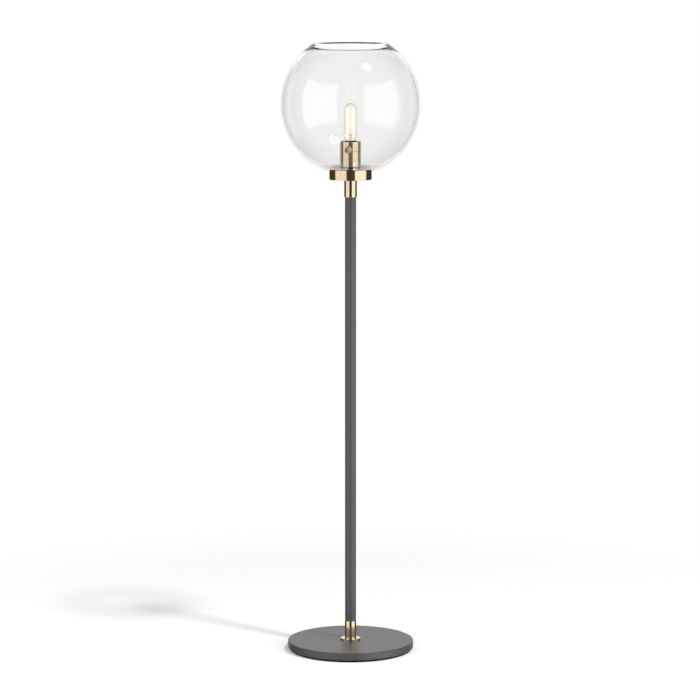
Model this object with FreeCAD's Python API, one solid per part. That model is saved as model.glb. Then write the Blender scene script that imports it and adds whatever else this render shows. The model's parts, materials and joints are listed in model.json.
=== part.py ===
"""Globe floor lamp: a clear blown globe, open at the top, on a brass fitter and a slim painted pole.

Millimetres. +Z is up, the origin is the middle of the foot on the floor, and the front is -Y.
Everything but the base's cord path and the lampholder's inside is turned about the Z axis.
The pieces stack upwards from the floor, and each height is worked out from the pieces below it.
"""
import FreeCAD, Part
import math
import os

Vector = FreeCAD.Vector
UP = Vector(0, 0, 1)
ORIGIN = Vector(0, 0, 0)

# Fits and gaps
screwed_fit = 0.05          # radial, between a screwed or cemented piece and its hole
slip_fit = 0.10             # radial, between a piece and the hole it is pushed through
turning_fit = 0.08          # radial, between the switch's shaft or the bulb's cap and what it turns in
loose_gap = 0.4             # round castings and pressings
contact_gap = 0.1           # between the bulb's tip and its contact
screw_end_gap = 0.5         # between a screw's end and the bottom of its hole
nut_bevel_share = 0.6       # of the corners, turned off a hexagon nut

# Base
base_radius = 160.0
base_height = 19.0          # cover, without the pad
base_top_rounding = 3.0
base_lip_rounding = 2.5
base_lip_width = 11.0
cover_wall = 1.5
pad_inset = 5.0             # of the pad, from the cover's edge
pad_width = 34.0
pad_thickness = 5.0
recess_radius = 24.0        # below the weight, round the stud's nut
recess_depth = 10.5
cord_channel_width = 9.0
plate_screw_circle = 80.0
plate_screw_radius = 2.0
plate_screw_length = 9.0
plate_screw_head_radius = 3.6
plate_screw_head_height = 2.2
plate_screw_head_rounding = 1.3
plate_screw_angles = (30, 150, 270)
gland_radius = 5.0
gland_bore_radius = 3.6
gland_collar_radius = 6.0
gland_collar_thickness = 2.0
gland_tail_length = 8.0
gland_nose_inset = 0.2      # behind the cover's edge
gland_mouth_rounding = 0.8

# Stud that ties the pole to the base
stud_radius = 6.5
stud_bore_radius = 4.6
stud_grip = 30.0            # thread inside the pole's plug
stud_tail = 0.8             # thread below the nut
stud_washer_radius = 15.0
stud_washer_thickness = 2.0
lock_washer_radius = 10.5
lock_washer_thickness = 1.8
lock_washer_split = 2.0
stud_nut_flats = 20.0
stud_nut_height = 5.0

# Brass at the pole's foot
flange_radius = 25.4
flange_thickness = 4.0
lower_ferrule_length = 45.0
lower_ferrule_wall = 0.75
brass_edge = 0.4            # chamfer on turned brass

# Pole
pole_radius = 14.0
pole_wall = 1.5
pole_length = 1162.0
lower_plug_length = 40.0
upper_plug_length = 30.0
plug_chamfer = 1.0

# Head: ferrule, nipple and fitter
upper_ferrule_cover = 35.0  # how far it comes down over the pole
upper_ferrule_cap = 9.5     # solid part above the pole's end
upper_ferrule_wall = 2.2
nipple_radius = 5.0
nipple_bore_radius = 3.5
nipple_grip = 22.0          # thread inside the upper plug
nipple_head = 2.2           # thread above the top nut
fitter_radius = 54.2
fitter_height = 26.0
fitter_wall = 2.5
fitter_top = 4.0
underplate_thickness = 2.0
spacer_radius = 9.0
fitter_nut_flats = 17.0
fitter_nut_height = 3.5

# Globe
globe_radius = 175.0        # at its widest
globe_arc_excess = 5.0      # of the side's curve over that radius, which makes the globe taller than a ball
globe_flat_radius = 74.3    # of the flat bottom, to where its corner starts
globe_mouth_radius = 93.0   # outside of the rim
globe_wall = 3.5
globe_corner = 9.0          # from the side into the flat bottom
globe_hole_radius = 20.0
seat_gasket_radius = 48.0
seat_gasket_thickness = 1.0
gasket_collar_wall = 1.2
clamp_gasket_thickness = 0.8

# Lampholder cup
cup_radius = 26.5
cup_wall = 1.2
cup_floor = 1.5
cup_lower_height = 40.2
cup_upper_height = 23.5
cup_mouth_radius = 19.5
cup_rim_rounding = 1.0
spigot_height = 4.0         # of the upper cup, inside the lower one
spigot_wall = 1.0
cup_washer_radius = 10.0
cup_washer_thickness = 1.0
cup_nut_flats = 14.0
cup_nut_height = 3.0
sleeve_wall = 0.8

# Lampholder inside
body_radius = 23.6
body_cavity_radius = 16.5
body_cavity_depth = 20.0
deck_below_seam = 5.0       # the body's deck, below the seam of the two cups
skirt_wall = 2.8
porcelain_edge = 0.8
skirt_below_rim = 4.0
shell_below_skirt = 1.0
shell_radius = 13.28        # inside, where the bulb's cap turns
shell_wall = 0.5
shell_floor_hole = 9.0
shell_gap = 0.3             # between the shell and the porcelain skirt
strip_thickness = 0.6
strip_width = 5.0
strip_groove_depth = 1.4
strip_end_radius = 22.6     # where both strips start, from the axis
tongue_rise = 3.6           # of the centre contact's tongue
tongue_run = 6.5
tongue_end_rise = 2.7       # of its free end, bent down again
terminal_circle = 20.2
terminal_screw_radius = 1.6
terminal_head_radius = 2.6
terminal_head_height = 1.8
terminal_screw_length = 7.0
lead_hole_radius = 1.7
lead_hole_turn = 24.0       # degrees from the terminal
holder_screw_circle = 20.1
holder_screw_radius = 1.5
holder_head_radius = 2.6
holder_head_height = 1.8
holder_screw_turn = 45.0    # degrees from the switch

# Rotary switch
switch_turn = 10.5          # degrees, to the left of the front
switch_above_deck = 9.1
switch_width = 13.0
switch_depth = 4.6
switch_height = 17.0
cam_radius = 4.2
cam_thickness = 2.6
cam_flat = 3.3              # from the axis to each of the cam's flats
leaf_thickness = 0.4
leaf_width = 2.0
spindle_radius = 2.2
knob_radius = 8.7
knob_thickness = 6.5
knob_gap = 1.0              # between the cup and the knob
knob_edge = 0.9
knob_dish = 0.7
knob_bore_depth = 4.0

# Bulb
bulb_radius = 16.0
bulb_length = 120.4
bulb_wall = 0.8
bulb_cap_radius = 13.2
bulb_cap_wall = 0.4
bulb_cap_length = 27.0      # from the tip to the top of the cap
bulb_cap_flare = 0.9
bulb_cap_flare_length = 2.5
bulb_shoulder = 11.0        # height over which the neck widens
tip_radius = 4.6
tip_height = 1.4
insulator_height = 3.6      # sloping part
insulator_top = 2.0         # part inside the cap
stem_radius = 3.0
stem_cone_length = 11.0
stem_length = 26.0
stem_pinch_width = 9.0
filament_count = 6
filament_radius = 1.1
filament_circle = 9.5
filament_length = 50.0
filament_from_top = 14.5    # below the bulb's dome
wire_radius = 0.35
hub_above_filaments = 4.4   # where the upper wires meet


def at(radius, height, degrees=0.0):
    """Point at a radius and a bearing about the Z axis."""
    turn = math.radians(degrees)
    return Vector(radius * math.cos(turn), radius * math.sin(turn), height)


def turned(start, *steps):
    """Solid of revolution about Z. A step is (r, z) for a line, ((r, z), (r, z)) for an arc via a point.

    An arc whose centre is beyond the axis goes in as a free curve, because a ring surface can't have one.
    """
    edges = []
    here = at(*start)
    for step in list(steps) + [start]:
        if isinstance(step[0], tuple):
            there = at(*step[1])
            arc = Part.Arc(here, at(*step[0]), there).toShape()
            edges.append(arc.Curve.toBSpline(*arc.ParameterRange).toShape() if arc.Curve.Center.x < 0 else arc)
        else:
            there = at(*step)
            if here.distanceToPoint(there) < 1e-7:
                continue
            edges.append(Part.LineSegment(here, there).toShape())
        here = there
    profile = Part.Face(Part.Wire(edges))
    return profile.revolve(ORIGIN, UP, 360)


def corner(centre, radius, degrees):
    """Point on a rounding's arc, to go through."""
    turn = math.radians(degrees)
    return (centre[0] + radius * math.cos(turn), centre[1] + radius * math.sin(turn))


def dish_point(width, depth, low):
    """Point halfway out on a shallow round dish, or dome, whose middle is at low on the axis."""
    bend = (width ** 2 + depth ** 2) / (2 * depth)
    return (width / 2, low + bend - math.sqrt(bend ** 2 - width ** 2 / 4))


def ring(inner, outer, low, high):
    return turned((inner, low), (outer, low), (outer, high), (inner, high))


def rod(radius, low, high):
    return Part.makeCylinder(radius, high - low, Vector(0, 0, low))


def cheese_head_screw(shank, head, low, head_low, high):
    return turned((0, low), (shank, low), (shank, head_low), (head, head_low), (head, high), (0, high))


def hexagon_nut(flats, bore, low, high):
    """Hexagon nut about Z, with its corners turned off."""
    corners = [at(flats / math.sqrt(3), low, 60 * i) for i in range(7)]
    prism = Part.Face(Part.makePolygon(corners)).extrude(Vector(0, 0, high - low))
    reach = flats / math.sqrt(3)
    bevel = (reach - flats / 2) * nut_bevel_share
    envelope = turned((0, low), (reach - bevel, low), (reach, low + bevel), (reach, high - bevel),
                      (reach - bevel, high), (0, high))
    return prism.common(envelope).cut(rod(bore, low - 1, high + 1))


def block(length, width, height, low, start=0.0):
    """Box along +X from start, centred on Y."""
    return Part.makeBox(length, width, height, Vector(start, -width / 2, low))


def turn_to(shape, degrees):
    """The shape turned about Z."""
    turned_shape = shape.copy()
    turned_shape.rotate(ORIGIN, UP, degrees)
    return turned_shape


def moved(shape, radius, degrees):
    """A shape modelled about Z, carried out from the axis to a radius and a bearing."""
    carried = shape.copy()
    carried.translate(at(radius, 0, degrees))
    return carried


def radial(shape, height, degrees):
    """A shape modelled about Z from the axis outwards, laid down to point out along a bearing."""
    laid = shape.copy()
    laid.rotate(ORIGIN, Vector(0, 1, 0), 90)
    laid.rotate(ORIGIN, UP, degrees)
    laid.translate(Vector(0, 0, height))
    return laid


def wire_between(start, end, radius):
    """Straight round wire."""
    return Part.makeCylinder(radius, start.distanceToPoint(end), start, end - start)


# Heights, from the floor up
cover_low = pad_thickness
cover_high = cover_low + base_height
weight_low = cover_low + cover_wall
weight_high = cover_high - cover_wall
recess_high = weight_low + recess_depth
gland_height = cover_low + base_height / 2
flange_high = cover_high + flange_thickness
pole_high = flange_high + pole_length
ferrule_high = pole_high + upper_ferrule_cap
fitter_high = ferrule_high + fitter_height
glass_low = fitter_high + seat_gasket_thickness
glass_floor = glass_low + globe_wall
cup_low = glass_floor + clamp_gasket_thickness
cup_floor_high = cup_low + cup_floor
cup_seam = cup_low + cup_lower_height
cup_high = cup_seam + cup_upper_height
cup_nut_high = cup_floor_high + cup_washer_thickness + cup_nut_height
deck = cup_seam - deck_below_seam
groove_floor = deck - strip_groove_depth
shell_low = deck + strip_thickness
skirt_high = cup_high - skirt_below_rim
tongue_high = groove_floor + strip_thickness + tongue_rise
switch_height_above_floor = deck + switch_above_deck
switch_bearing = 270.0 - switch_turn
bulb_low = tongue_high + contact_gap
cap_high = bulb_low + bulb_cap_length
bulb_high = bulb_low + bulb_length


def base_cover():
    """Spun steel dish, its edge rolled in under the weight."""
    top = base_top_rounding
    lip = base_lip_rounding
    top_centre = (base_radius - top, cover_high - top)
    lip_centre = (base_radius - lip, cover_low + lip)
    lip_inner = base_radius - base_lip_width
    wall = cover_wall
    hole = stud_radius + slip_fit
    dish = turned(
        (hole, cover_high), (top_centre[0], cover_high),
        (corner(top_centre, top, 45), (base_radius, top_centre[1])),
        (base_radius, lip_centre[1]),
        (corner(lip_centre, lip, -45), (lip_centre[0], cover_low)),
        (lip_inner, cover_low), (lip_inner, weight_low), (lip_centre[0], weight_low),
        (corner(lip_centre, lip - wall, -45), (base_radius - wall, lip_centre[1])),
        (base_radius - wall, top_centre[1]),
        (corner(top_centre, top - wall, 45), (top_centre[0], weight_high)),
        (hole, weight_high))
    cord_hole = rod(gland_radius + slip_fit, base_radius - 2 * wall, base_radius + wall)
    return dish.cut(radial(cord_hole, gland_height, 90))


def base_weight():
    """Cast iron disc with a nut recess, a cord channel to the rear and tapped holes for the plate."""
    radius = base_radius - cover_wall - loose_gap
    edge = base_top_rounding
    disc = turned(
        (stud_radius + slip_fit, weight_low), (radius - edge, weight_low), (radius, weight_low + edge),
        (radius, weight_high - edge), (radius - edge, weight_high), (stud_radius + slip_fit, weight_high))
    recess = rod(recess_radius, weight_low, recess_high)
    channel_high = gland_height + cord_channel_width / 2
    channel = block(radius + 1, cord_channel_width, channel_high - weight_low, weight_low)
    pocket_depth = gland_collar_thickness + gland_tail_length
    pocket_half = gland_collar_radius + loose_gap
    pocket = block(pocket_depth + cover_wall + 1, 2 * pocket_half, gland_height + pocket_half - weight_low,
                   weight_low, base_radius - cover_wall - pocket_depth - 1)
    disc = disc.cut([recess, turn_to(channel, 90), turn_to(pocket, 90)])
    hole = rod(plate_screw_radius + screwed_fit, weight_low, weight_low + plate_screw_length)
    return disc.cut([moved(hole, plate_screw_circle, angle) for angle in plate_screw_angles])


def base_plate():
    """Steel plate inside the cover's lip, cut from the same sheet as the cover."""
    radius = base_radius - base_lip_width - loose_gap
    plate = rod(radius, cover_low, weight_low)
    hole = rod(plate_screw_radius + slip_fit, cover_low, weight_low)
    return plate.cut([moved(hole, plate_screw_circle, angle) for angle in plate_screw_angles])


def base_plate_screws():
    """Three pan-headed screws, up through the plate into the weight."""
    head_low = cover_low - plate_screw_head_height
    rounding = plate_screw_head_rounding
    centre = (plate_screw_head_radius - rounding, head_low + rounding)
    # The holes are drilled from the weight's underside.
    end = weight_low + plate_screw_length - screw_end_gap
    screw = turned(
        (0, head_low), (centre[0], head_low),
        (corner(centre, rounding, -45), (plate_screw_head_radius, centre[1])),
        (plate_screw_head_radius, cover_low), (plate_screw_radius, cover_low),
        (plate_screw_radius, end), (0, end))
    return Part.makeCompound([moved(screw, plate_screw_circle, angle) for angle in plate_screw_angles])


def base_pad():
    """Flat ring that the lamp stands on, glued under the cover and its plate."""
    pad_radius = base_radius - pad_inset
    edge = pad_thickness / 5
    inner = pad_radius - pad_width
    return turned((inner, cover_low), (inner, 0), (pad_radius - edge, 0), (pad_radius, edge),
                  (pad_radius, cover_low))


def cable_gland():
    """Snap-in bush for the cord, its nose flush with the rear of the cover."""
    nose = base_radius - gland_nose_inset
    seat = base_radius - cover_wall - loose_gap
    back = seat - gland_collar_thickness
    tail = back - gland_tail_length
    bore = gland_bore_radius
    mouth = gland_mouth_rounding
    bush = turned((bore, tail), (gland_radius, tail), (gland_radius, back), (gland_collar_radius, back),
                  (gland_collar_radius, seat), (gland_radius, seat), (gland_radius, nose),
                  (bore + mouth, nose),
                  (corner((bore + mouth, nose - mouth), mouth, 135), (bore, nose - mouth)))
    return radial(bush, gland_height, 90)


def stud_pieces():
    """Hollow stud, and the washers and nut that pull it down in the weight's recess."""
    hole = stud_radius + slip_fit
    washer_low = recess_high - stud_washer_thickness
    lock_low = washer_low - lock_washer_thickness
    nut_low = lock_low - stud_nut_height
    lock_washer = ring(hole, lock_washer_radius, lock_low, washer_low)
    split = block(lock_washer_radius + 1, lock_washer_split, lock_washer_thickness, lock_low)
    return {
        "base_stud": ring(stud_bore_radius, stud_radius, nut_low - stud_tail, flange_high + stud_grip),
        "stud_washer": ring(hole, stud_washer_radius, washer_low, recess_high),
        "stud_lock_washer": lock_washer.cut(turn_to(split, 200)),
        "stud_nut": hexagon_nut(stud_nut_flats, stud_radius + screwed_fit, nut_low, lock_low),
    }


def foot_brass():
    """Flange disc on the base, and the sleeve over the pole's foot."""
    hole = stud_radius + slip_fit
    edge = brass_edge
    flange = turned((hole, cover_high), (flange_radius, cover_high), (flange_radius, flange_high - edge),
                    (flange_radius - edge, flange_high), (hole, flange_high))
    bore = pole_radius + screwed_fit
    outer = bore + lower_ferrule_wall
    top = flange_high + lower_ferrule_length
    bevel = lower_ferrule_wall / 2
    sleeve = turned((bore, flange_high), (outer, flange_high), (outer, top - bevel), (outer - bevel, top),
                    (bore, top))
    return {"flange_disc": flange, "lower_ferrule": sleeve}


def pole_pieces():
    """Steel tube with a threaded plug brazed into each end."""
    bore = pole_radius - pole_wall
    plug = bore - screwed_fit
    edge = plug_chamfer
    lower_top = flange_high + lower_plug_length
    upper_low = pole_high - upper_plug_length
    lower_hole = stud_radius + screwed_fit
    upper_hole = nipple_radius + screwed_fit
    return {
        "pole_tube": ring(bore, pole_radius, flange_high, pole_high),
        "lower_plug": turned((lower_hole, flange_high), (plug, flange_high), (plug, lower_top - edge),
                             (plug - edge, lower_top), (lower_hole, lower_top)),
        "upper_plug": turned((upper_hole, upper_low), (plug - edge, upper_low), (plug, upper_low + edge),
                             (plug, pole_high), (upper_hole, pole_high)),
    }


def upper_ferrule():
    """Turned brass cap, bored to go over the pole's head."""
    outer = pole_radius + screwed_fit + upper_ferrule_wall
    bore = pole_radius + screwed_fit
    low = pole_high - upper_ferrule_cover
    hole = nipple_radius + slip_fit
    edge = brass_edge
    return turned((bore, low), (outer - edge, low), (outer, low + edge), (outer, ferrule_high - edge),
                  (outer - edge, ferrule_high), (hole, ferrule_high), (hole, pole_high), (bore, pole_high))


def fitter_pieces():
    """Brass pot that the globe stands on, closed below, with a tube and a nut to clamp it."""
    hole = nipple_radius + slip_fit
    edge = brass_edge
    top_low = fitter_high - fitter_top
    inner = fitter_radius - fitter_wall
    plate_high = ferrule_high + underplate_thickness
    housing = turned(
        (hole, top_low), (inner, top_low), (inner, ferrule_high), (fitter_radius - edge, ferrule_high),
        (fitter_radius, ferrule_high + edge), (fitter_radius, fitter_high - edge),
        (fitter_radius - edge, fitter_high), (hole, fitter_high))
    return {
        "fitter_housing": housing,
        "fitter_underplate": ring(hole, inner - slip_fit, ferrule_high, plate_high),
        "fitter_spacer": ring(hole, spacer_radius, plate_high, top_low),
        "fitter_nut": hexagon_nut(fitter_nut_flats, nipple_radius + screwed_fit, fitter_high,
                                  fitter_high + fitter_nut_height),
    }


def holder_nipple():
    """Hollow threaded tube from the pole's upper plug to the lampholder."""
    return ring(nipple_bore_radius, nipple_radius, pole_high - nipple_grip, cup_nut_high + nipple_head)


def globe_glass():
    """Blown globe of even wall: open rim, one arc down the side, a corner, and a flat bottom with a hole.

    The side's centre is level with the widest part, a little beyond the axis. The corner touches both the
    side and the flat bottom from inside.
    """
    outer = globe_radius + globe_arc_excess
    inner = outer - globe_wall
    low_corner = (globe_flat_radius, glass_low + globe_corner)
    reach = globe_flat_radius + globe_arc_excess
    side = (-globe_arc_excess, low_corner[1] + math.sqrt((outer - globe_corner) ** 2 - reach ** 2))
    rim_turn = math.acos((globe_mouth_radius - side[0]) / outer)
    foot_turn = math.atan2(low_corner[1] - side[1], reach)
    corner_turn = (foot_turn - math.pi / 2) / 2

    def on(centre, radius, turn):
        return (centre[0] + radius * math.cos(turn), centre[1] + radius * math.sin(turn))

    corner_out = globe_corner
    corner_in = globe_corner - globe_wall
    # The rim is melted round: its half circle goes up along the side's tangent.
    middle = on(side, outer - globe_wall / 2, rim_turn)
    rim_crown = on(middle, globe_wall / 2, rim_turn + math.pi / 2)
    return turned(
        (globe_hole_radius, glass_low), (low_corner[0], glass_low),
        (on(low_corner, corner_out, corner_turn), on(low_corner, corner_out, foot_turn)),
        (on(side, outer, 0), on(side, outer, rim_turn)),
        (rim_crown, on(side, inner, rim_turn)),
        (on(side, inner, 0), on(low_corner, corner_in, foot_turn)),
        (on(low_corner, corner_in, corner_turn), (low_corner[0], glass_floor)),
        (globe_hole_radius, glass_floor))


def gaskets():
    """Clear silicone rings under and over the glass. The lower one's collar centres the glass."""
    collar_out = globe_hole_radius - slip_fit
    collar_in = collar_out - gasket_collar_wall
    collar_high = glass_floor - seat_gasket_thickness / 2
    return {
        "seat_gasket": turned((collar_in, fitter_high), (seat_gasket_radius, fitter_high),
                              (seat_gasket_radius, glass_low), (collar_out, glass_low),
                              (collar_out, collar_high), (collar_in, collar_high)),
        "clamp_gasket": ring(nipple_radius + loose_gap, cup_radius - brass_edge, glass_floor, cup_low),
    }


def cup_lower():
    """Lower cup: a drawn brass can whose floor clamps the glass."""
    inner = cup_radius - cup_wall
    edge = brass_edge
    hole = nipple_radius + slip_fit
    can = turned((hole, cup_low), (cup_radius - edge, cup_low), (cup_radius, cup_low + edge),
                 (cup_radius, cup_seam), (inner, cup_seam), (inner, cup_floor_high), (hole, cup_floor_high))
    screw_hole = rod(holder_screw_radius + slip_fit, cup_low, cup_floor_high)
    return can.cut([moved(screw_hole, holder_screw_circle, angle) for angle in holder_screw_angles()])


def cup_upper():
    """Upper cup: a brass tube with a rolled rim, turned in at the top, and a spigot inside the lower cup."""
    inner = cup_radius - cup_wall
    spigot = inner - slip_fit
    spigot_in = spigot - spigot_wall
    rim = cup_rim_rounding
    centre = (cup_radius - rim, cup_high - rim)
    tube = turned((spigot_in, cup_seam - spigot_height), (spigot, cup_seam - spigot_height),
                  (spigot, cup_seam), (cup_radius, cup_seam), (cup_radius, centre[1]),
                  (corner(centre, rim, 45), (centre[0], cup_high)),
                  (cup_mouth_radius, cup_high), (cup_mouth_radius, cup_high - cup_wall),
                  (inner, cup_high - cup_wall), (inner, cup_seam + spigot_wall), (spigot_in, cup_seam))
    hole = radial(rod(spindle_radius + turning_fit, body_cavity_radius, cup_radius + 1),
                  switch_height_above_floor, switch_bearing)
    return tube.cut(hole)


def insulating_sleeve():
    """Fibre sleeve between the live parts and the upper cup."""
    outer = cup_radius - cup_wall - slip_fit
    sleeve = ring(outer - sleeve_wall, outer, cup_seam + spigot_wall + slip_fit,
                  cup_high - cup_wall - slip_fit)
    hole = radial(rod(spindle_radius + loose_gap, body_cavity_radius, cup_radius),
                  switch_height_above_floor, switch_bearing)
    return sleeve.cut(hole)


def cup_fasteners():
    washer_high = cup_floor_high + cup_washer_thickness
    return {
        "cup_washer": ring(nipple_radius + slip_fit, cup_washer_radius, cup_floor_high, washer_high),
        "cup_nut": hexagon_nut(cup_nut_flats, nipple_radius + screwed_fit, washer_high, cup_nut_high),
    }


def holder_screw_angles():
    first = switch_bearing + holder_screw_turn
    return (first, first + 180)


def terminal_angles():
    """Bearings of the centre contact's terminal and of the shell's."""
    return (switch_bearing + 90, switch_bearing - 90)


def holder_body():
    """Porcelain body: a block with a cavity for the leads below, and a skirt round the screw shell above."""
    skirt_in = shell_radius + shell_wall + shell_gap
    skirt_out = skirt_in + skirt_wall
    cavity_high = cup_floor_high + body_cavity_depth
    edge = porcelain_edge
    body = turned(
        (body_cavity_radius, cup_floor_high), (body_radius, cup_floor_high), (body_radius, deck - edge),
        (body_radius - edge, deck), (skirt_out, deck), (skirt_out, skirt_high - edge),
        (skirt_out - edge, skirt_high), (skirt_in, skirt_high), (skirt_in, deck), (0, deck),
        (0, cavity_high), (body_cavity_radius - 2 * edge, cavity_high),
        (body_cavity_radius, cavity_high - 2 * edge))
    centre_angle, shell_angle = terminal_angles()
    width = strip_width + 2 * loose_gap
    groove = block(body_radius + tongue_run, width, strip_groove_depth + strip_thickness + loose_gap,
                   groove_floor, -tongue_run)
    notch = block(body_radius, width, strip_thickness + loose_gap, deck)
    cuts = [turn_to(groove, centre_angle), turn_to(notch, shell_angle)]
    lead_hole = rod(lead_hole_radius, cup_floor_high, deck)
    for angle, seat in ((centre_angle, groove_floor), (shell_angle, deck)):
        tapped_hole = rod(terminal_screw_radius + screwed_fit, seat - terminal_screw_length, seat)
        cuts.append(moved(tapped_hole, terminal_circle, angle))
        cuts.append(moved(lead_hole, terminal_circle, angle + lead_hole_turn))
    screw_hole = rod(holder_screw_radius + slip_fit, cup_floor_high, deck)
    head_recess = rod(holder_head_radius + slip_fit, deck - holder_head_height, deck)
    for angle in holder_screw_angles():
        cuts.append(moved(screw_hole, holder_screw_circle, angle))
        cuts.append(moved(head_recess, holder_screw_circle, angle))
    return body.cut(cuts)


def holder_screws():
    """Two screws, down through the body into the cup's floor."""
    head_low = deck - holder_head_height
    screw = cheese_head_screw(holder_screw_radius, holder_head_radius, cup_low, head_low, deck)
    return Part.makeCompound([moved(screw, holder_screw_circle, angle) for angle in holder_screw_angles()])


def screw_shell():
    """Metal shell that takes the bulb's cap. Its floor stands on the shell contact."""
    inner = shell_radius
    outer = shell_radius + shell_wall
    high = skirt_high - shell_below_skirt
    floor_high = shell_low + shell_wall
    return turned((shell_floor_hole, shell_low), (outer, shell_low), (outer, high), (inner, high),
                  (inner, floor_high), (shell_floor_hole, floor_high))


def strip(points, width):
    """Metal strip along X: a bent line of points, thickened upwards and carried across its width."""
    below = [Vector(x, -width / 2, z) for x, z in points]
    above = [Vector(x, -width / 2, z + strip_thickness) for x, z in reversed(points)]
    outline = Part.makePolygon(below + above + [below[0]])
    return Part.Face(outline).extrude(Vector(0, width, 0))


def contacts():
    """Centre contact with its sprung tongue, and the flat strip under the screw shell."""
    centre_angle, shell_angle = terminal_angles()
    centre = strip([(-tongue_run / 2, groove_floor + tongue_end_rise), (0, groove_floor + tongue_rise),
                    (tongue_run, groove_floor), (strip_end_radius, groove_floor)], strip_width)
    flat = strip([(shell_floor_hole + shell_wall, deck), (strip_end_radius, deck)], strip_width)
    pieces = {}
    screws = []
    for name, shape, angle, seat in (("centre_contact", centre, centre_angle, groove_floor),
                                     ("shell_contact", flat, shell_angle, deck)):
        head_low = seat + strip_thickness
        hole = rod(terminal_screw_radius + slip_fit, seat, head_low)
        pieces[name] = turn_to(shape, angle).cut(moved(hole, terminal_circle, angle))
        screw = cheese_head_screw(terminal_screw_radius, terminal_head_radius,
                                  seat - terminal_screw_length + screw_end_gap, head_low,
                                  head_low + terminal_head_height)
        screws.append(moved(screw, terminal_circle, angle))
    pieces["terminal_screws"] = Part.makeCompound(screws)
    return pieces


def switch_pieces():
    """Rotary switch: a case beside the skirt, a cam and a leaf in it, and the spindle out to the knob."""
    case_in = shell_radius + shell_wall + shell_gap + skirt_wall + slip_fit
    case_out = case_in + switch_depth
    pocket_floor = case_out - cam_thickness - 2 * slip_fit
    cam_low = pocket_floor + slip_fit
    cam_high = cam_low + cam_thickness
    case = Part.makeBox(switch_height, switch_width, switch_depth,
                        Vector(-(switch_height - switch_above_deck), -switch_width / 2, case_in))
    pocket = rod(cam_radius + turning_fit, pocket_floor, case_out)
    # In this lying frame -X is up, so the leaf's slot is over the cam.
    slot_height = cam_radius + turning_fit + leaf_thickness + 2 * slip_fit
    slot = Part.makeBox(slot_height, cam_radius, case_out - pocket_floor,
                        Vector(-slot_height, -cam_radius / 2, pocket_floor))
    leaf_low = cam_radius + turning_fit + slip_fit
    leaf = Part.makeBox(leaf_thickness, cam_radius - 2 * slip_fit, leaf_width,
                        Vector(-leaf_low - leaf_thickness, -cam_radius / 2 + slip_fit, cam_low))
    cam = rod(cam_radius, cam_low, cam_high)
    flat = Part.makeBox(cam_radius, 2 * cam_radius, cam_thickness, Vector(cam_flat, -cam_radius, cam_low))
    cam = cam.cut([turn_to(flat, 90 * quarter) for quarter in range(4)])
    knob_low = cup_radius + knob_gap
    spindle_high = knob_low + knob_bore_depth
    return {
        "switch_housing": place_switch(case.cut([pocket, slot])),
        "switch_leaf": place_switch(leaf),
        "switch_cam": place_switch(cam),
        "switch_spindle": place_switch(rod(spindle_radius, cam_high, spindle_high)),
        "switch_knob": place_switch(knob(knob_low)),
    }


def place_switch(shape):
    return radial(shape, switch_height_above_floor, switch_bearing)


def knob(low):
    """Round knob with bevelled edges and a dished face."""
    high = low + knob_thickness
    edge = knob_edge
    bore = spindle_radius + screwed_fit
    bore_high = low + knob_bore_depth + slip_fit
    face_edge = knob_radius - 2 * edge
    return turned((bore, low), (knob_radius - edge, low), (knob_radius, low + edge),
                  (knob_radius, high - edge), (knob_radius - edge, high), (face_edge, high),
                  (dish_point(face_edge, knob_dish, high - knob_dish), (0, high - knob_dish)),
                  (0, bore_high), (bore, bore_high))


def bulb_pieces():
    """Tubular bulb: screw cap with its insulator and tip, envelope, stem, supports and filaments."""
    tip_high = bulb_low + tip_height
    slope_low = tip_high + contact_gap
    slope_high = slope_low + insulator_height
    cap_inner = bulb_cap_radius - bulb_cap_wall
    insulator_radius = cap_inner - screwed_fit
    insulator_high = slope_high + insulator_top
    insulator = turned((0, slope_low), (tip_radius, slope_low), (insulator_radius, slope_high),
                       (insulator_radius, insulator_high), (0, insulator_high))
    flare_low = cap_high - bulb_cap_flare_length
    cap = turned((cap_inner, slope_high), (bulb_cap_radius, slope_high), (bulb_cap_radius, flare_low),
                 (bulb_cap_radius + bulb_cap_flare, cap_high), (cap_inner + bulb_cap_flare, cap_high),
                 (cap_inner, flare_low))
    tip_side = bulb_low + tip_height / 2
    tip = turned((0, bulb_low), (dish_point(tip_radius, tip_height / 2, bulb_low), (tip_radius, tip_side)),
                 (tip_radius, tip_high), (0, tip_high))
    return {"bulb_tip": tip, "bulb_insulator": insulator, "bulb_cap": cap}


def bulb_glass():
    """Blown tube: a neck in the cap, a shoulder of two equal arcs, a straight side and a round dome."""
    neck = bulb_cap_radius - bulb_cap_wall - slip_fit
    neck_low = cap_high - bulb_cap_length / 3
    shoulder_low = cap_high
    shoulder_high = shoulder_low + bulb_shoulder
    widening = bulb_radius - neck
    bend = (bulb_shoulder ** 2 + widening ** 2) / (4 * widening)
    half_turn = math.degrees(math.asin(bulb_shoulder / 2 / bend))
    middle = ((neck + bulb_radius) / 2, (shoulder_low + shoulder_high) / 2)
    first = (neck + bend, shoulder_low)
    second = (bulb_radius - bend, shoulder_high)
    wall = bulb_wall
    slant = math.radians(half_turn)
    inner_middle = (middle[0] - wall * math.cos(slant), middle[1] + wall * math.sin(slant))
    side_high = bulb_high - bulb_radius
    dome = (0, side_high)
    inner = bulb_radius - wall
    return turned(
        (neck - wall, neck_low), (neck, neck_low), (neck, shoulder_low),
        (corner(first, bend, 180 - half_turn / 2), middle),
        (corner(second, bend, -half_turn / 2), (bulb_radius, shoulder_high)),
        (bulb_radius, side_high), (corner(dome, bulb_radius, 45), (0, bulb_high)),
        (0, bulb_high - wall), (corner(dome, inner, 45), (inner, side_high)), (inner, shoulder_high),
        (corner(second, bend - wall, -half_turn / 2), inner_middle),
        (corner(first, bend + wall, 180 - half_turn / 2), (neck - wall, shoulder_low)))


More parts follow.
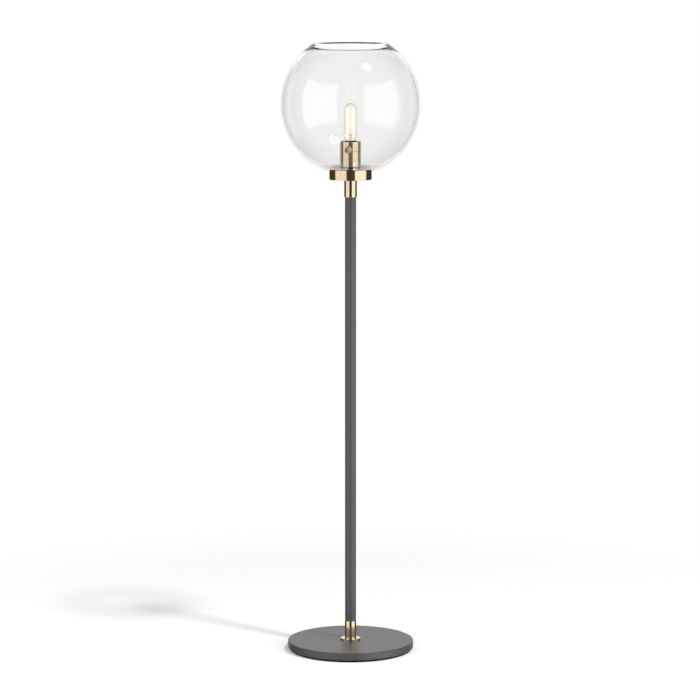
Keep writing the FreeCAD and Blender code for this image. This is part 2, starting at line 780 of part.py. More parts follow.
def bulb_inside():
    """Glass stem with its pinched end, the filament sticks, and the wires that carry them."""
    flare = bulb_cap_radius - bulb_cap_wall - slip_fit - bulb_wall - slip_fit
    stem_low = cap_high - bulb_cap_length / 3
    cone_high = stem_low + stem_cone_length
    pinch_low = stem_low + stem_length - stem_radius
    stem_high = stem_low + stem_length
    stem = turned((0, stem_low), (flare, stem_low), (flare, stem_low + bulb_wall),
                  (corner((flare, cone_high), stem_cone_length, 225), (stem_radius, cone_high)),
                  (stem_radius, pinch_low), (0, pinch_low))
    pinch = Part.makeBox(stem_pinch_width, stem_radius, stem_high - pinch_low,
                         Vector(-stem_pinch_width / 2, -stem_radius / 2, pinch_low))
    filament_high = bulb_high - filament_from_top
    filament_low = filament_high - filament_length
    sticks = []
    wires = []
    hub = Vector(0, 0, filament_high + hub_above_filaments)
    foot = Vector(0, 0, stem_high + 2 * wire_radius)
    for i in range(filament_count):
        angle = 360 / filament_count * i
        sticks.append(moved(rod(filament_radius, filament_low, filament_high), filament_circle, angle))
        stick_top = at(filament_circle, filament_high + wire_radius, angle)
        stick_foot = at(filament_circle, filament_low - wire_radius, angle)
        wires.append(wire_between(hub, stick_top, wire_radius))
        wires.append(wire_between(foot, stick_foot, wire_radius))
    mast = wire_between(Vector(0, 0, stem_high), hub, wire_radius)
    supports = mast.fuse(wires).removeSplitter()
    return {"bulb_stem": stem.fuse(pinch).removeSplitter(), "bulb_filaments": Part.makeCompound(sticks),
            "bulb_supports": supports}


def build():
    pieces = {
        "base_cover": base_cover(), "base_weight": base_weight(), "base_plate": base_plate(),
        "base_plate_screws": base_plate_screws(), "base_pad": base_pad(), "cable_gland": cable_gland(),
        "upper_ferrule": upper_ferrule(), "holder_nipple": holder_nipple(), "globe_glass": globe_glass(),
        "cup_lower": cup_lower(), "cup_upper": cup_upper(), "insulating_sleeve": insulating_sleeve(),
        "holder_body": holder_body(), "holder_screws": holder_screws(), "screw_shell": screw_shell(),
        "bulb_glass": bulb_glass(),
    }
    for group in (stud_pieces, foot_brass, pole_pieces, fitter_pieces, gaskets, cup_fasteners, contacts,
                  switch_pieces, bulb_pieces, bulb_inside):
        pieces.update(group())
    return pieces


os.makedirs("parts", exist_ok=True)
lamp = build()
for node, piece in lamp.items():
    piece.exportStep("parts/" + node + ".step")
print(len(lamp), "pieces, globe rim at", round(lamp["globe_glass"].BoundBox.ZMax, 2), "mm")
print("bulb from", round(bulb_low, 2), "to", round(bulb_high, 2), "mm")
print("switch at", round(switch_height_above_floor, 2), "mm")
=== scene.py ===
# %% [markdown]
# # A globe floor lamp
# The lamp is a clear blown globe on a brass fitter, a slim painted pole and a flat painted base.
# Its construction comes ready made as a frame of solids. This script gives it its looks: smooth
# turned brass, real glass with a wall, satin paint, and the light it stands in.
#
# Nearly every piece is round about the lamp's own axis, so one function that carries an outline
# round that axis does most of the modelling.

# %% The frame
import bmesh
import bpy
import json
import math
import numpy as np
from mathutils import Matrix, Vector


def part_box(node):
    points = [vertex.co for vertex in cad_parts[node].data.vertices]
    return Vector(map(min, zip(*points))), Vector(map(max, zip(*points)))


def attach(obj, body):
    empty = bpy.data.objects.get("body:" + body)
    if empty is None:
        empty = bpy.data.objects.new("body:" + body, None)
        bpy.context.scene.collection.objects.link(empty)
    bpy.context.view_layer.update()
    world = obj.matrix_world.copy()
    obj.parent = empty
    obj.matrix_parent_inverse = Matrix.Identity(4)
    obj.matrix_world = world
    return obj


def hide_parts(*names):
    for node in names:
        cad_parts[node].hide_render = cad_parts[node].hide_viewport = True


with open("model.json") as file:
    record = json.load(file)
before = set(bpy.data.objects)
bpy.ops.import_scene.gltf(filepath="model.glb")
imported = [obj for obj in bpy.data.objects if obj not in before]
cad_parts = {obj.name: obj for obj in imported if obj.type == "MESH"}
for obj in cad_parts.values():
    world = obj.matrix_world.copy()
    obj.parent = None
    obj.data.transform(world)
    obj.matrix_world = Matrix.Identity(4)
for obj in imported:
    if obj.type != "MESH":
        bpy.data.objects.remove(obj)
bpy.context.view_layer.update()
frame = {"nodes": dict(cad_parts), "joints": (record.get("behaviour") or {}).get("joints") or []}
nodes = frame["nodes"]
MM = 0.001


def low(node):
    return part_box(node)[0].z


def high(node):
    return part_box(node)[1].z


def reach(node):
    """Radius of a piece that is round about the lamp's axis."""
    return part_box(node)[1].x


# %% [markdown]
# ## Outlines
# A turned piece is described by half of its section: points (r, z), r out from the axis and z up.
# Real metal has no perfectly sharp edge, and the small rounding is what catches the light, so each
# corner of an outline comes with its own radius.

# %% Outline helpers
def arc(centre, radius, start, end, steps=24):
    """Points centre + radius (cos a, sin a), for a from start to end in degrees."""
    turn = np.radians(np.linspace(start, end, steps + 1))
    return np.stack([centre[0] + radius * np.cos(turn), centre[1] + radius * np.sin(turn)], 1)


def rounded(corners, steps=6):
    """Polygon with rounded corners, from (r, z, radius).

    With h half the angle between a corner's two sides, its arc's centre lies radius / sin h from
    the corner, along the line that halves the angle, and the arc touches each side radius / tan h
    away.
    """
    points = []
    for i, (r, z, radius) in enumerate(corners):
        here = np.array([r, z])
        if radius == 0:
            points.append(here[None])
            continue
        back = np.array(corners[i - 1][:2]) - here
        ahead = np.array(corners[(i + 1) % len(corners)][:2]) - here
        back /= np.linalg.norm(back)
        ahead /= np.linalg.norm(ahead)
        half = math.acos(np.clip(back @ ahead, -1, 1)) / 2
        middle = (back + ahead) / np.linalg.norm(back + ahead)
        centre = here + middle * radius / math.sin(half)
        first = here + back * radius / math.tan(half) - centre
        last = here + ahead * radius / math.tan(half) - centre
        start = math.degrees(math.atan2(first[1], first[0]))
        swing = (math.degrees(math.atan2(last[1], last[0])) - start + 180) % 360 - 180
        points.append(arc(centre, radius, start, start + swing, steps))
    return np.concatenate(points)


def tube_outline(inner, outer, bottom, top, edge):
    """A ring's section, with the same rounding on its four edges."""
    return rounded([(inner, bottom, edge), (outer, bottom, edge),
                    (outer, top, edge), (inner, top, edge)])


# %% [markdown]
# ## Carrying an outline round
# The surface is a grid. One parameter runs along the outline and the other is the angle t round
# the axis, so every vertex is (r cos t, r sin t, z), worked out as whole arrays. A piece that isn't
# quite round, such as a thread, changes r and z before that step.

# %% Surfaces
def revolve(outline, around=192, change=None):
    """Closed surface (r cos t, r sin t, z) of a closed outline, with its faces outwards.

    change(r, z, t), if given, returns the r and z to use. The outline is put anticlockwise first,
    because then the step along t crossed with the step along the outline points out of the solid.
    """
    r, z = outline[:, 0], outline[:, 1]
    if np.sum(r * np.roll(z, -1) - np.roll(r, -1) * z) < 0:
        r, z = r[::-1], z[::-1]
    t = np.linspace(0, 2 * np.pi, around, endpoint=False)
    r, z, t = np.broadcast_arrays(r[:, None], z[:, None], t[None])
    if change:
        r, z = change(r, z, t)
    points = np.stack([r * np.cos(t), r * np.sin(t), z], -1).reshape(-1, 3)
    along = np.arange(len(outline))[:, None]
    round_ = np.arange(around)[None]
    next_along, next_round = (along + 1) % len(outline), (round_ + 1) % around
    faces = np.stack([along * around + round_, along * around + next_round,
                      next_along * around + next_round, next_along * around + round_], -1)
    return points, faces.reshape(-1, 4)


def new_piece(name, points, faces, material, slot, body, stands_for, sharp=40):
    """Mesh in place, smooth except where two faces meet at more than sharp degrees.

    Points less than weld apart become one. The larger face leads the shading of the points that it
    shares with a smaller one, so that a flat face beside a rounding is shaded flat.
    """
    weld = 1e-7
    mesh = bpy.data.meshes.new(name)
    mesh.from_pydata(points.tolist(), [], faces.tolist())
    tidy = bmesh.new()
    tidy.from_mesh(mesh)
    bmesh.ops.remove_doubles(tidy, verts=tidy.verts, dist=weld)
    tidy.to_mesh(mesh)
    tidy.free()
    mesh.shade_smooth()
    mesh.set_sharp_from_angle(angle=math.radians(sharp))
    mesh.materials.append(material)
    made = bpy.data.objects.new(name, mesh)
    bpy.context.scene.collection.objects.link(made)
    made.modifiers.new("flat_faces_lead", "WEIGHTED_NORMAL").keep_sharp = True
    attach(made, body)
    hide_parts(*stands_for)
    print(name, len(mesh.polygons), "faces")


# %% [markdown]
# ## Finishes
# Each material starts from what the real one is, and every pattern's scale from a real size. All
# patterns read Object coordinates, which are metres in the lamp's own frame, so that a pattern
# keeps its real scale on every piece.

# %% Material helpers
def linear(hex_colour):
    """sRGB hex to linear: c / 12.92 below 0.04045, else ((c + 0.055) / 1.055) to the power 2.4."""
    c = np.array([int(hex_colour[i:i + 2], 16) for i in (1, 3, 5)]) / 255
    c = np.where(c <= 0.04045, c / 12.92, ((c + 0.055) / 1.055) ** 2.4)
    return (*c.tolist(), 1.0)


def add(tree, kind, inputs=None, **settings):
    """One node, with its settings, and each input a value or the output that feeds it."""
    made = tree.nodes.new("ShaderNode" + kind)
    for name, value in settings.items():
        setattr(made, name, value)
    for socket, value in (inputs or {}).items():
        if isinstance(value, bpy.types.NodeSocket):
            tree.links.new(value, made.inputs[socket])
        else:
            made.inputs[socket].default_value = value
    return made


def maths(tree, operation, *values):
    """One Math node, on one value or two."""
    return add(tree, "Math", dict(enumerate(values)), operation=operation).outputs[0]


def times(tree, first, *others):
    for other in others:
        first = maths(tree, "MULTIPLY", first, other)
    return first


def plus(tree, first, *others):
    for other in others:
        first = maths(tree, "ADD", first, other)
    return first


def either(tree, factor, first, second):
    """Number: first where factor is 0 and second where it is 1 (a Mix node's inputs 2 and 3)."""
    return add(tree, "Mix", {"Factor": factor, 2: first, 3: second}).outputs[0]


def eased(tree, value, start, end, first=0.0, last=1.0):
    """Runs smoothly from first to last while value runs from start to end."""
    return add(tree, "MapRange", {"Value": value, "From Min": start, "From Max": end,
                                  "To Min": first, "To Max": last},
               interpolation_type="SMOOTHSTEP").outputs[0]


def new_material(name):
    made = bpy.data.materials.new(name)
    made.use_nodes = True
    made.node_tree.nodes.clear()
    return made, made.node_tree


def finish_with(tree, shader):
    add(tree, "OutputMaterial", {"Surface": shader.outputs[0]})


noise_low, noise_high = 0.3, 0.7    # nearly all of the noise lies between these two


def grain(tree, size):
    """Soft noise whose lumps are about size metres across, 0 to 1."""
    place = add(tree, "TexCoord").outputs["Object"]
    return add(tree, "TexNoise", {"Vector": place, "Scale": 1 / size, "Detail": 2.0}).outputs["Fac"]


def between(tree, factor, first, second):
    """Number that runs from first to second as factor runs over the noise's range."""
    return add(tree, "MapRange", {"Value": factor, "From Min": noise_low, "From Max": noise_high,
                                  "To Min": first, "To Max": second}).outputs[0]


def shades(tree, factor, first, second):
    """Colour between two hex colours, over the same range."""
    ramp = add(tree, "ValToRGB", {"Fac": factor})
    stops = ramp.color_ramp.elements
    stops[0].position, stops[0].color = noise_low, linear(first)
    stops[1].position, stops[1].color = noise_high, linear(second)
    return ramp.outputs[0]


def solid(name, dark, light, rough, lump, bump, **surface):
    """An opaque finish: two close shades in lumps, and a fine relief.

    rough is the (lowest, highest) roughness. lump is the size of the lumps and bump the relief's
    (size, depth), all in millimetres. surface gives more sockets of the shader.
    """
    made, tree = new_material(name)
    size, depth = bump[0] * MM, bump[1] * MM
    gloss_patch = size * 4
    patches = grain(tree, lump * MM)
    relief = add(tree, "Bump", {"Height": grain(tree, size), "Distance": depth, "Strength": 1.0})
    inputs = {"Base Color": shades(tree, patches, dark, light), "Normal": relief.outputs[0],
              "Roughness": between(tree, grain(tree, gloss_patch), *rough)}
    inputs.update({key.replace("_", " "): value for key, value in surface.items()})
    finish_with(tree, add(tree, "BsdfPrincipled", inputs))
    return made


# %% [markdown]
# ### Brass
# The fitter, ferrules and cups are turned or drawn brass, polished and lacquered. The knob is left
# satin. A lathe leaves fine lines round the piece, so the noise reads only the distance from the
# lamp's axis and the height: it is the same all the way round. The lines are drawn 0.4 mm apart,
# coarser than real ones, so that they show.

# %% Brass
lathe_line, lathe_depth = 0.4 * MM, 0.002 * MM
wear_patch = 15 * MM


def turned_brass(name, rough):
    made, tree = new_material(name)
    place = add(tree, "SeparateXYZ", {"Vector": add(tree, "TexCoord").outputs["Object"]}).outputs
    squares = [maths(tree, "POWER", place[axis], 2.0) for axis in ("X", "Y")]
    radius = maths(tree, "SQRT", plus(tree, *squares))
    section = add(tree, "CombineXYZ", {"X": radius, "Y": place["Z"]})
    lines = add(tree, "TexNoise", {"Vector": section.outputs[0], "Scale": 1 / lathe_line,
                                   "Detail": 1.0})
    relief = add(tree, "Bump", {"Height": lines.outputs["Fac"], "Distance": lathe_depth,
                                "Strength": 0.5})
    wear = grain(tree, wear_patch)
    finish_with(tree, add(tree, "BsdfPrincipled", {
        "Base Color": shades(tree, wear, "#E9D9B5", "#EFE1C2"), "Metallic": 1.0,
        "Roughness": between(tree, wear, *rough), "Normal": relief.outputs[0]}))
    return made


brass = turned_brass("polished_brass", (0.09, 0.13))
satin_brass = turned_brass("satin_brass", (0.34, 0.42))

# %% [markdown]
# ### Paint
# Pole and base share one baked powder paint: a dark grey, satin, with the faint orange peel that
# powder leaves as it melts. The lumps of orange peel are about 1.5 mm across.

# %% Powder paint
graphite = solid("graphite_powder_paint", "#555354", "#595758", (0.33, 0.40), 60, (1.5, 0.005))

# %% [markdown]
# ### Glass
# The globe is blown soda glass. It is clear, so almost all of its look comes from what it mirrors
# and bends, and that only works with a real wall, made of two surfaces. Blown glass is never quite
# even, so a slight long ripple runs over it. Light from a lamp has to get through, so rays that
# look for a lamp meet a see-through stand-in, which is darker towards the edge of the globe, as the
# real shadow is. The bulb's stem is lead glass, which bends light more and is a little grey.

# %% Glass
ripple_length, ripple_depth = 60 * MM, 0.05 * MM


def clear(name, tint, shadow, ior=1.5, glow=None):
    """Clear glass. shadow is what it lets through face on and edge on, and glow (colour, level)."""
    made, tree = new_material(name)
    ripple = add(tree, "Bump", {"Height": grain(tree, ripple_length), "Distance": ripple_depth,
                                "Strength": 0.4})
    inputs = {"Base Color": linear(tint), "Roughness": 0.0, "IOR": ior,
              "Transmission Weight": 1.0, "Normal": ripple.outputs[0]}
    # glow is painted light: emission on glass that is no lamp, as if lit from inside.
    if glow:
        inputs.update({"Emission Color": linear(glow[0]), "Emission Strength": glow[1]})
    glass = add(tree, "BsdfPrincipled", inputs)
    facing = add(tree, "LayerWeight", {"Blend": 0.35})
    # On a Mix node, inputs 6 and 7 are the two colours and output 2 is the mixed one.
    veil = add(tree, "Mix", {"Factor": facing.outputs["Facing"], 6: linear(shadow[0]),
                             7: linear(shadow[1])}, data_type="RGBA")
    through = add(tree, "BsdfTransparent", {"Color": veil.outputs[2]})
    lamp_ray = add(tree, "LightPath").outputs["Is Shadow Ray"]
    finish_with(tree, add(tree, "MixShader", {0: lamp_ray, 1: glass.outputs[0],
                                              2: through.outputs[0]}))
    return made


blown_glass = clear("blown_soda_glass", "#FEFEFE", ("#F7F7F7", "#E2E2E2"), ior=1.46)
# The bulb's glass gets a faint painted glow for the light of the filament sticks inside it.
bulb_glass_with_painted_glow = clear("bulb_soda_glass_with_painted_glow", "#FFFEFB", ("#FFFFFF", "#C0C0C0"), glow=("#FFE9B4", 0.03))
lead_glass = clear("lead_stem_glass", "#E2DCD6", ("#F0F0F0", "#B0B0B0"), ior=1.56)
silicone = clear("clear_silicone", "#F4F6F6", ("#F0F0F0", "#C0C0C0"), ior=1.41)

# %% [markdown]
# ### The rest
# Everything else shows little: the rubber ring under the base, the porcelain and plated parts in
# the lampholder, and the iron and steel inside the base. They still get the real material's colour,
# gloss and surface, because the lamp is looked at from every side. The rubber's black is partly
# its own colour and partly painted shade where the base meets the floor. The lit filament sticks
# shine a little, and the wires beside them, which are no lamp, get a faint painted glow for their
# light.

# %% Other finishes
# Black rubber made darker still: partly its own colour, partly painted shade under the base.
rubber_with_painted_shade = solid("rubber_with_painted_shade_under_base", "#0E0E0F", "#131314", (0.75, 0.9), 8, (0.8, 0.04))
nylon = solid("moulded_nylon", "#151516", "#1A1A1B", (0.4, 0.55), 5, (0.5, 0.01))
iron = solid("sand_cast_iron", "#3B3A39", "#4A4846", (0.6, 0.8), 10, (1.5, 0.15), Metallic=0.6)
steel = solid("zinc_plated_steel", "#A9ACAE", "#B9BCBE", (0.25, 0.4), 6, (0.8, 0.01), Metallic=1.0)
nickel = solid("nickel_plated_brass", "#C3BEB4", "#CFCAC0", (0.15, 0.25), 6, (0.6, 0.005),
               Metallic=1.0)
spring_brass = solid("rolled_brass_strip", "#CDB178", "#D8BD85", (0.25, 0.35), 5, (0.6, 0.006),
                     Metallic=1.0)
porcelain = solid("glazed_porcelain", "#E9E6DD", "#F0EEE6", (0.12, 0.2), 6, (2, 0.01),
                  Coat_Weight=0.5, Coat_Roughness=0.05)
fibre = solid("pressed_fibre", "#6E5A45", "#7B6650", (0.7, 0.85), 3, (0.4, 0.03))
bakelite = solid("pressed_bakelite", "#2A1D17", "#33241C", (0.25, 0.35), 5, (1, 0.006))
vitrite = solid("black_cap_glass", "#0E0D12", "#15141A", (0.08, 0.14), 3, (1, 0.01))
solder = solid("tin_solder", "#A6A6A4", "#B8B8B5", (0.3, 0.45), 2, (0.6, 0.02), Metallic=1.0)
# The support wires are no lamp: their emission is a painted glow for the light of the sticks.
wire_with_painted_glow = solid("nickel_iron_wire_with_painted_glow", "#C9C5BD", "#D6D2CA", (0.3, 0.4), 2, (0.3, 0.004), Metallic=0.7,
             Emission_Color=linear("#FFF0C4"), Emission_Strength=0.7)
phosphor = solid("phosphor_coated_filament", "#FFF1C9", "#FFF6DC", (0.6, 0.8), 1, (0.4, 0.02),
                 Emission_Color=linear("#FFF4D6"), Emission_Strength=0.75)

# %% [markdown]
# ## Base
# The base is a spun steel cover on a rubber ring. The solid has the cord's hole in its rear wall,
# which a plain turned surface wouldn't, so here the solid's own mesh is copied, its loose triangles
# are joined, and it is shaded smooth.

# %% Copied solids
def smooth_copy(node, name, material, slot, body):
    mesh = nodes[node].data
    points = np.empty(len(mesh.vertices) * 3)
    mesh.vertices.foreach_get("co", points)
    faces = np.empty(len(mesh.polygons) * 3, int)
    mesh.polygons.foreach_get("vertices", faces)
    new_piece(name, points.reshape(-1, 3), faces.reshape(-1, 3), material, slot, body, [node],
              sharp=30)


smooth_copy("base_cover", "base_cover_painted", graphite, "graphite_paint", "stand")
smooth_copy("base_pad", "base_pad_ring", rubber_with_painted_shade, "black_pad", "stand")
smooth_copy("cable_gland", "cable_gland_bush", nylon, "black_nylon", "stand")

# %% [markdown]
# ## Pole and turned brass
# Flange, ferrules, pole and fitter are plain turned shapes. Their outer radii and heights come from
# the frame, and the outlines add only what a lathe hand would: small roundings at the edges.

# %% Turned pieces
def turned(name, outline, node, material=brass, slot="brass", around=192):
    """A round piece of the stand, in place of its solid."""
    new_piece(name, *revolve(outline, around), material, slot, "stand", [node])


# %% Pole
pole_radius = reach("pole_tube")
pole_wall = 1.5 * MM
pole_low, pole_high = low("pole_tube"), high("pole_tube")
pole_outline = tube_outline(pole_radius - pole_wall, pole_radius, pole_low, pole_high, 0.2 * MM)
turned("pole_painted", pole_outline, "pole_tube", graphite, "graphite_paint")

# %% Flange and ferrules
stud_clear = 6.6 * MM
nipple_clear = 5.1 * MM
ferrule_bore = pole_radius + 0.05 * MM

flange_radius = reach("flange_disc")
flange_low, flange_high = low("flange_disc"), high("flange_disc")
turned("flange_turned", rounded([
    (stud_clear, flange_low, 0), (flange_radius, flange_low, 0.2 * MM),
    (flange_radius, flange_high, 0.9 * MM), (stud_clear, flange_high, 0)]), "flange_disc")

turned("lower_ferrule_turned", tube_outline(
    ferrule_bore, reach("lower_ferrule"), low("lower_ferrule"), high("lower_ferrule"), 0.3 * MM),
    "lower_ferrule")

upper_radius = reach("upper_ferrule")
upper_low, upper_high = low("upper_ferrule"), high("upper_ferrule")
turned("upper_ferrule_turned", rounded([
    (ferrule_bore, upper_low, 0.3 * MM), (upper_radius, upper_low, 0.4 * MM),
    (upper_radius, upper_high, 0.5 * MM), (nipple_clear, upper_high, 0),
    (nipple_clear, pole_high, 0), (ferrule_bore, pole_high, 0)]), "upper_ferrule")

# %% Fitter
fitter_wall, fitter_roof = 2.5 * MM, 4 * MM
fitter_radius = reach("fitter_housing")
fitter_low, fitter_high = low("fitter_housing"), high("fitter_housing")
fitter_inside = fitter_radius - fitter_wall
fitter_ceiling = fitter_high - fitter_roof
turned("fitter_turned", rounded([
    (nipple_clear, fitter_ceiling, 0), (fitter_inside, fitter_ceiling, 1 * MM),
    (fitter_inside, fitter_low, 0.2 * MM), (fitter_radius, fitter_low, 0.5 * MM),
    (fitter_radius, fitter_high, 0.8 * MM), (nipple_clear, fitter_high, 0)]),
    "fitter_housing", around=256)

# %% [markdown]
# ## Globe
# The globe's side is one arc, 5 mm larger than the globe's own radius and centred as much beyond
# the axis, so the globe is a little taller than a ball. Below it turns through a 9 mm corner into a
# flat bottom with a hole, and above it ends in a flat rim with small bevels. The wall is 3.5 mm
# thick and grows to 6.5 mm over the last 26 mm below the rim, which draws the dark wedges at the
# rim's two ends.

# %% Globe glass
glass_wall = 3.5 * MM
rim_wall = 6.5 * MM
rim_zone = 26 * MM
rim_power = 2.0                 # the wall grows by this power of the way through the rim's zone
rim_edge = 0.6 * MM
corner_radius = 9 * MM
flat_radius = 74.3 * MM
hole_radius = 20 * MM
side_radius = 180 * MM
side_offset = -5 * MM
side_steps, corner_steps = 104, 12
glass_low, rim_height = low("globe_glass"), high("globe_glass")
glass_floor = glass_low + glass_wall


def globe_outline():
    """Outer side up from the corner, across the rim, inner side down, and back along the bottom."""
    corner = (flat_radius, glass_low + corner_radius)
    across = flat_radius - side_offset
    centre = (side_offset,
              corner[1] + math.sqrt((side_radius - corner_radius) ** 2 - across ** 2))
    foot = math.degrees(math.atan2(corner[1] - centre[1], across))
    rim = math.degrees(math.asin((rim_height - rim_edge - centre[1]) / side_radius))
    outside = arc(centre, side_radius, foot, rim, side_steps)
    middle = np.array(centre)
    growth = np.clip((outside[:, 1] - (rim_height - rim_zone)) / rim_zone, 0, 1) ** rim_power
    wall = glass_wall + (rim_wall - glass_wall) * growth[:, None]
    inside = middle + (outside - middle) * (1 - wall / side_radius)
    # The inner side ends lower than the outer one, so it runs on for four steps and is cut level.
    onward = np.linspace(inside[-1], inside[-1] + (inside[-1] - inside[-2]) * 4, 12)
    inside = np.concatenate([inside, onward[1:]])
    inside = inside[inside[:, 1] < rim_height - rim_edge]
    return np.concatenate([
        [[hole_radius, glass_low]],
        arc(corner, corner_radius, -90, foot, corner_steps),
        outside[1:],
        [[outside[-1, 0] - rim_edge, rim_height], [inside[-1, 0] + 0.5 * rim_edge, rim_height]],
        inside[:0:-1],
        arc(corner, corner_radius - glass_wall, foot, -90, corner_steps),
        [[hole_radius, glass_floor]]])


turned("globe_blown", globe_outline(), "globe_glass", blown_glass, "clear_glass", 384)

# %% [markdown]
# ## Lampholder
# Two brass cups meet at a seam. The upper one's rim is rolled in, and the bulb stands in it. A
# round knob on the front turns the switch behind it.

# %% Cups
cup_wall, cup_base = 1.2 * MM, 1.5 * MM
cup_radius = reach("cup_upper")
cup_inside = cup_radius - cup_wall
cup_low, cup_top = low("cup_lower"), high("cup_upper")
seam = high("cup_lower")
seam_edge = 0.8 * MM
turned("cup_lower_drawn", rounded([
    (nipple_clear, cup_low, 0), (cup_radius, cup_low, 0.6 * MM),
    (cup_radius, seam, seam_edge), (cup_inside, seam, 0.1 * MM),
    (cup_inside, cup_low + cup_base, 0.5 * MM), (nipple_clear, cup_low + cup_base, 0)]),
    "cup_lower", around=256)

cup_mouth = 19.5 * MM
spigot_low = low("cup_upper")
spigot_outer = cup_inside - 0.1 * MM
spigot_inner = spigot_outer - 1 * MM
spigot_taper = 1 * MM
turned("cup_upper_drawn", rounded([
    (spigot_inner, spigot_low, 0.2 * MM), (spigot_outer, spigot_low, 0.2 * MM),
    (spigot_outer, seam, 0), (cup_radius, seam, seam_edge), (cup_radius, cup_top, 0.6 * MM),
    (cup_mouth, cup_top, 0.4 * MM), (cup_mouth, cup_top - cup_wall, 0.4 * MM),
    (cup_inside, cup_top - cup_wall, 0.2 * MM), (cup_inside, seam + spigot_taper, 0),
    (spigot_inner, seam, 0)]), "cup_upper", around=256)

# %% [markdown]
# ### Screw thread
# Bulb cap and screw shell are thin sheet rolled into the same round thread, seven turns to the
# inch. A wave in r that depends on z / pitch - t / 2 pi climbs one pitch for each turn. Cap and
# shell use the same wave, a small clearance apart, so the bulb can be screwed out along it.

# %% Cap and shell
thread_pitch = 25.4 / 7 * MM
thread_depth = 0.9 * MM
thread_start = 1 * MM           # above the lower end of cap and shell


def threaded(bottom, top):
    """Lowers r by a smooth wave along the helix, faded in and out over a millimetre at each end."""
    def change(r, z, t):
        wave = (1 - np.cos(2 * np.pi * z / thread_pitch - t)) / 2
        fade = np.clip((z - bottom) / MM, 0, 1) * np.clip((top - z) / MM, 0, 1)
        return r - thread_depth * wave * fade, z
    return change


def sleeve_with_steps(inner, outer, bottom, top, step=0.25 * MM):
    """A tube's section with many points up its walls, so that a thread can be pressed into them."""
    z = np.linspace(bottom, top, int((top - bottom) / step) + 1)
    up = np.stack([np.full_like(z, outer), z], 1)
    down = np.stack([np.full_like(z, inner), z[::-1]], 1)
    return np.concatenate([up, down])


cap_low, cap_top = low("bulb_cap"), high("bulb_cap")
cap_radius = 13.2 * MM
cap_wall = 0.4 * MM
cap_flare = 2.5 * MM
cap_points = sleeve_with_steps(cap_radius - cap_wall, cap_radius, cap_low, cap_top)
above_flare = np.clip((cap_points[:, 1] - (cap_top - cap_flare)) / cap_flare, 0, 1)
cap_points[:, 0] += (reach("bulb_cap") - cap_radius) * above_flare
cap_thread = threaded(cap_low + thread_start, cap_top - cap_flare)
new_piece("bulb_cap_rolled", *revolve(cap_points, 128, cap_thread), nickel, "nickel", "bulb",
          ["bulb_cap"])

shell_radius = reach("screw_shell")
shell_low, shell_top = low("screw_shell"), high("screw_shell")
shell_wall = 0.5 * MM
shell_inside = shell_radius - shell_wall
shell_hole = 9 * MM
shell_points = np.concatenate([
    sleeve_with_steps(shell_inside, shell_radius, shell_low, shell_top)[:-1],
    [[shell_inside, shell_low + shell_wall], [shell_hole, shell_low + shell_wall],
     [shell_hole, shell_low]]])
shell_thread = threaded(shell_low + thread_start, shell_top)
new_piece("screw_shell_rolled", *revolve(shell_points, 128, shell_thread), nickel, "nickel",
          "stand", ["screw_shell"])

# %% [markdown]
# ### Switch knob
# The knob is turned about its own axis first, with fine flutes round its edge, and then laid on its
# side, facing the way the switch does.

# %% Knob
switch_hinge = next(joint for joint in frame["joints"] if joint["name"] == "switch_turn")
switch_axis = np.array(switch_hinge["axis"])
switch_height = switch_hinge["pos_m"][2]
knob_radius = 8.7 * MM
knob_low = cup_radius + 1 * MM
knob_high = knob_low + 6.5 * MM
knob_bore, bore_depth = 2.25 * MM, 4.1 * MM
dish_radius, dish_depth = 6.9 * MM, 0.7 * MM
flutes = 30
flute_depth = 0.35 * MM
fluted_edge = 0.5 * MM


def fluted(r, z, t):
    """Presses shallow flutes into the outermost half millimetre, between the two rounded edges."""
    flute = np.maximum(0, np.cos(flutes * t)) ** 2
    edge = np.clip((r - knob_radius + fluted_edge) / fluted_edge, 0, 1)
    return r - flute_depth * flute * edge, z


dish = np.linspace(dish_radius, 0, 12)
knob_outline = np.concatenate([
    rounded([(knob_bore, knob_low, 0), (knob_radius - 0.6 * MM, knob_low, 0.3 * MM),
             (knob_radius, knob_low + 0.9 * MM, 0.5 * MM),
             (knob_radius, knob_high - 1 * MM, 0.5 * MM),
             (knob_radius - 1 * MM, knob_high, 0.6 * MM)]),
    np.stack([dish, knob_high - dish_depth * (1 - (dish / dish_radius) ** 2)], 1),
    [[0, knob_low + bore_depth], [knob_bore, knob_low + bore_depth]]])


def lay_out(points, along, height):
    """Turns +Z to a level direction: the old x points down, the old y to that direction's left."""
    left = np.cross([0, 0, 1], along)
    return (points[:, :1] * [0, 0, -1] + points[:, 1:2] * left + points[:, 2:] * along
            + [0, 0, height])


knob_points, knob_faces = revolve(knob_outline, 240, fluted)
new_piece("switch_knob_fluted", lay_out(knob_points, switch_axis, switch_height), knob_faces,
          satin_brass, "brass", "switch", ["switch_knob"])

# %% [markdown]
# ## Bulb
# A tubular bulb: thin glass with a round dome, drawn in to a neck that is cemented into the cap.
# Inside stands a glass stem that carries six upright filament sticks on wires. The lit sticks look
# like cream lines. The glass round them is no lamp, but gets a faint painted glow for their light.

# %% Bulb glass
bulb_radius = reach("bulb_glass")
bulb_wall = 0.8 * MM
bulb_top = high("bulb_glass")
neck_radius = 12.7 * MM
neck_low = low("bulb_glass")
shoulder_low = cap_top
shoulder = 11 * MM


def bulb_side(inset):
    """One surface of the glass, from neck to crown, inset metres inside the outer one.

    The shoulder's radius follows half a cosine from the neck to the full radius.
    """
    rise = np.linspace(0, 1, 33)[:, None]
    width = neck_radius + (bulb_radius - neck_radius) * (1 - np.cos(np.pi * rise)) / 2
    dome = arc((0, bulb_top - bulb_radius), bulb_radius - inset, 0, 90, 48)
    return np.concatenate([[[neck_radius - inset, neck_low]],
                           np.hstack([width - inset, shoulder_low + shoulder * rise]), dome])


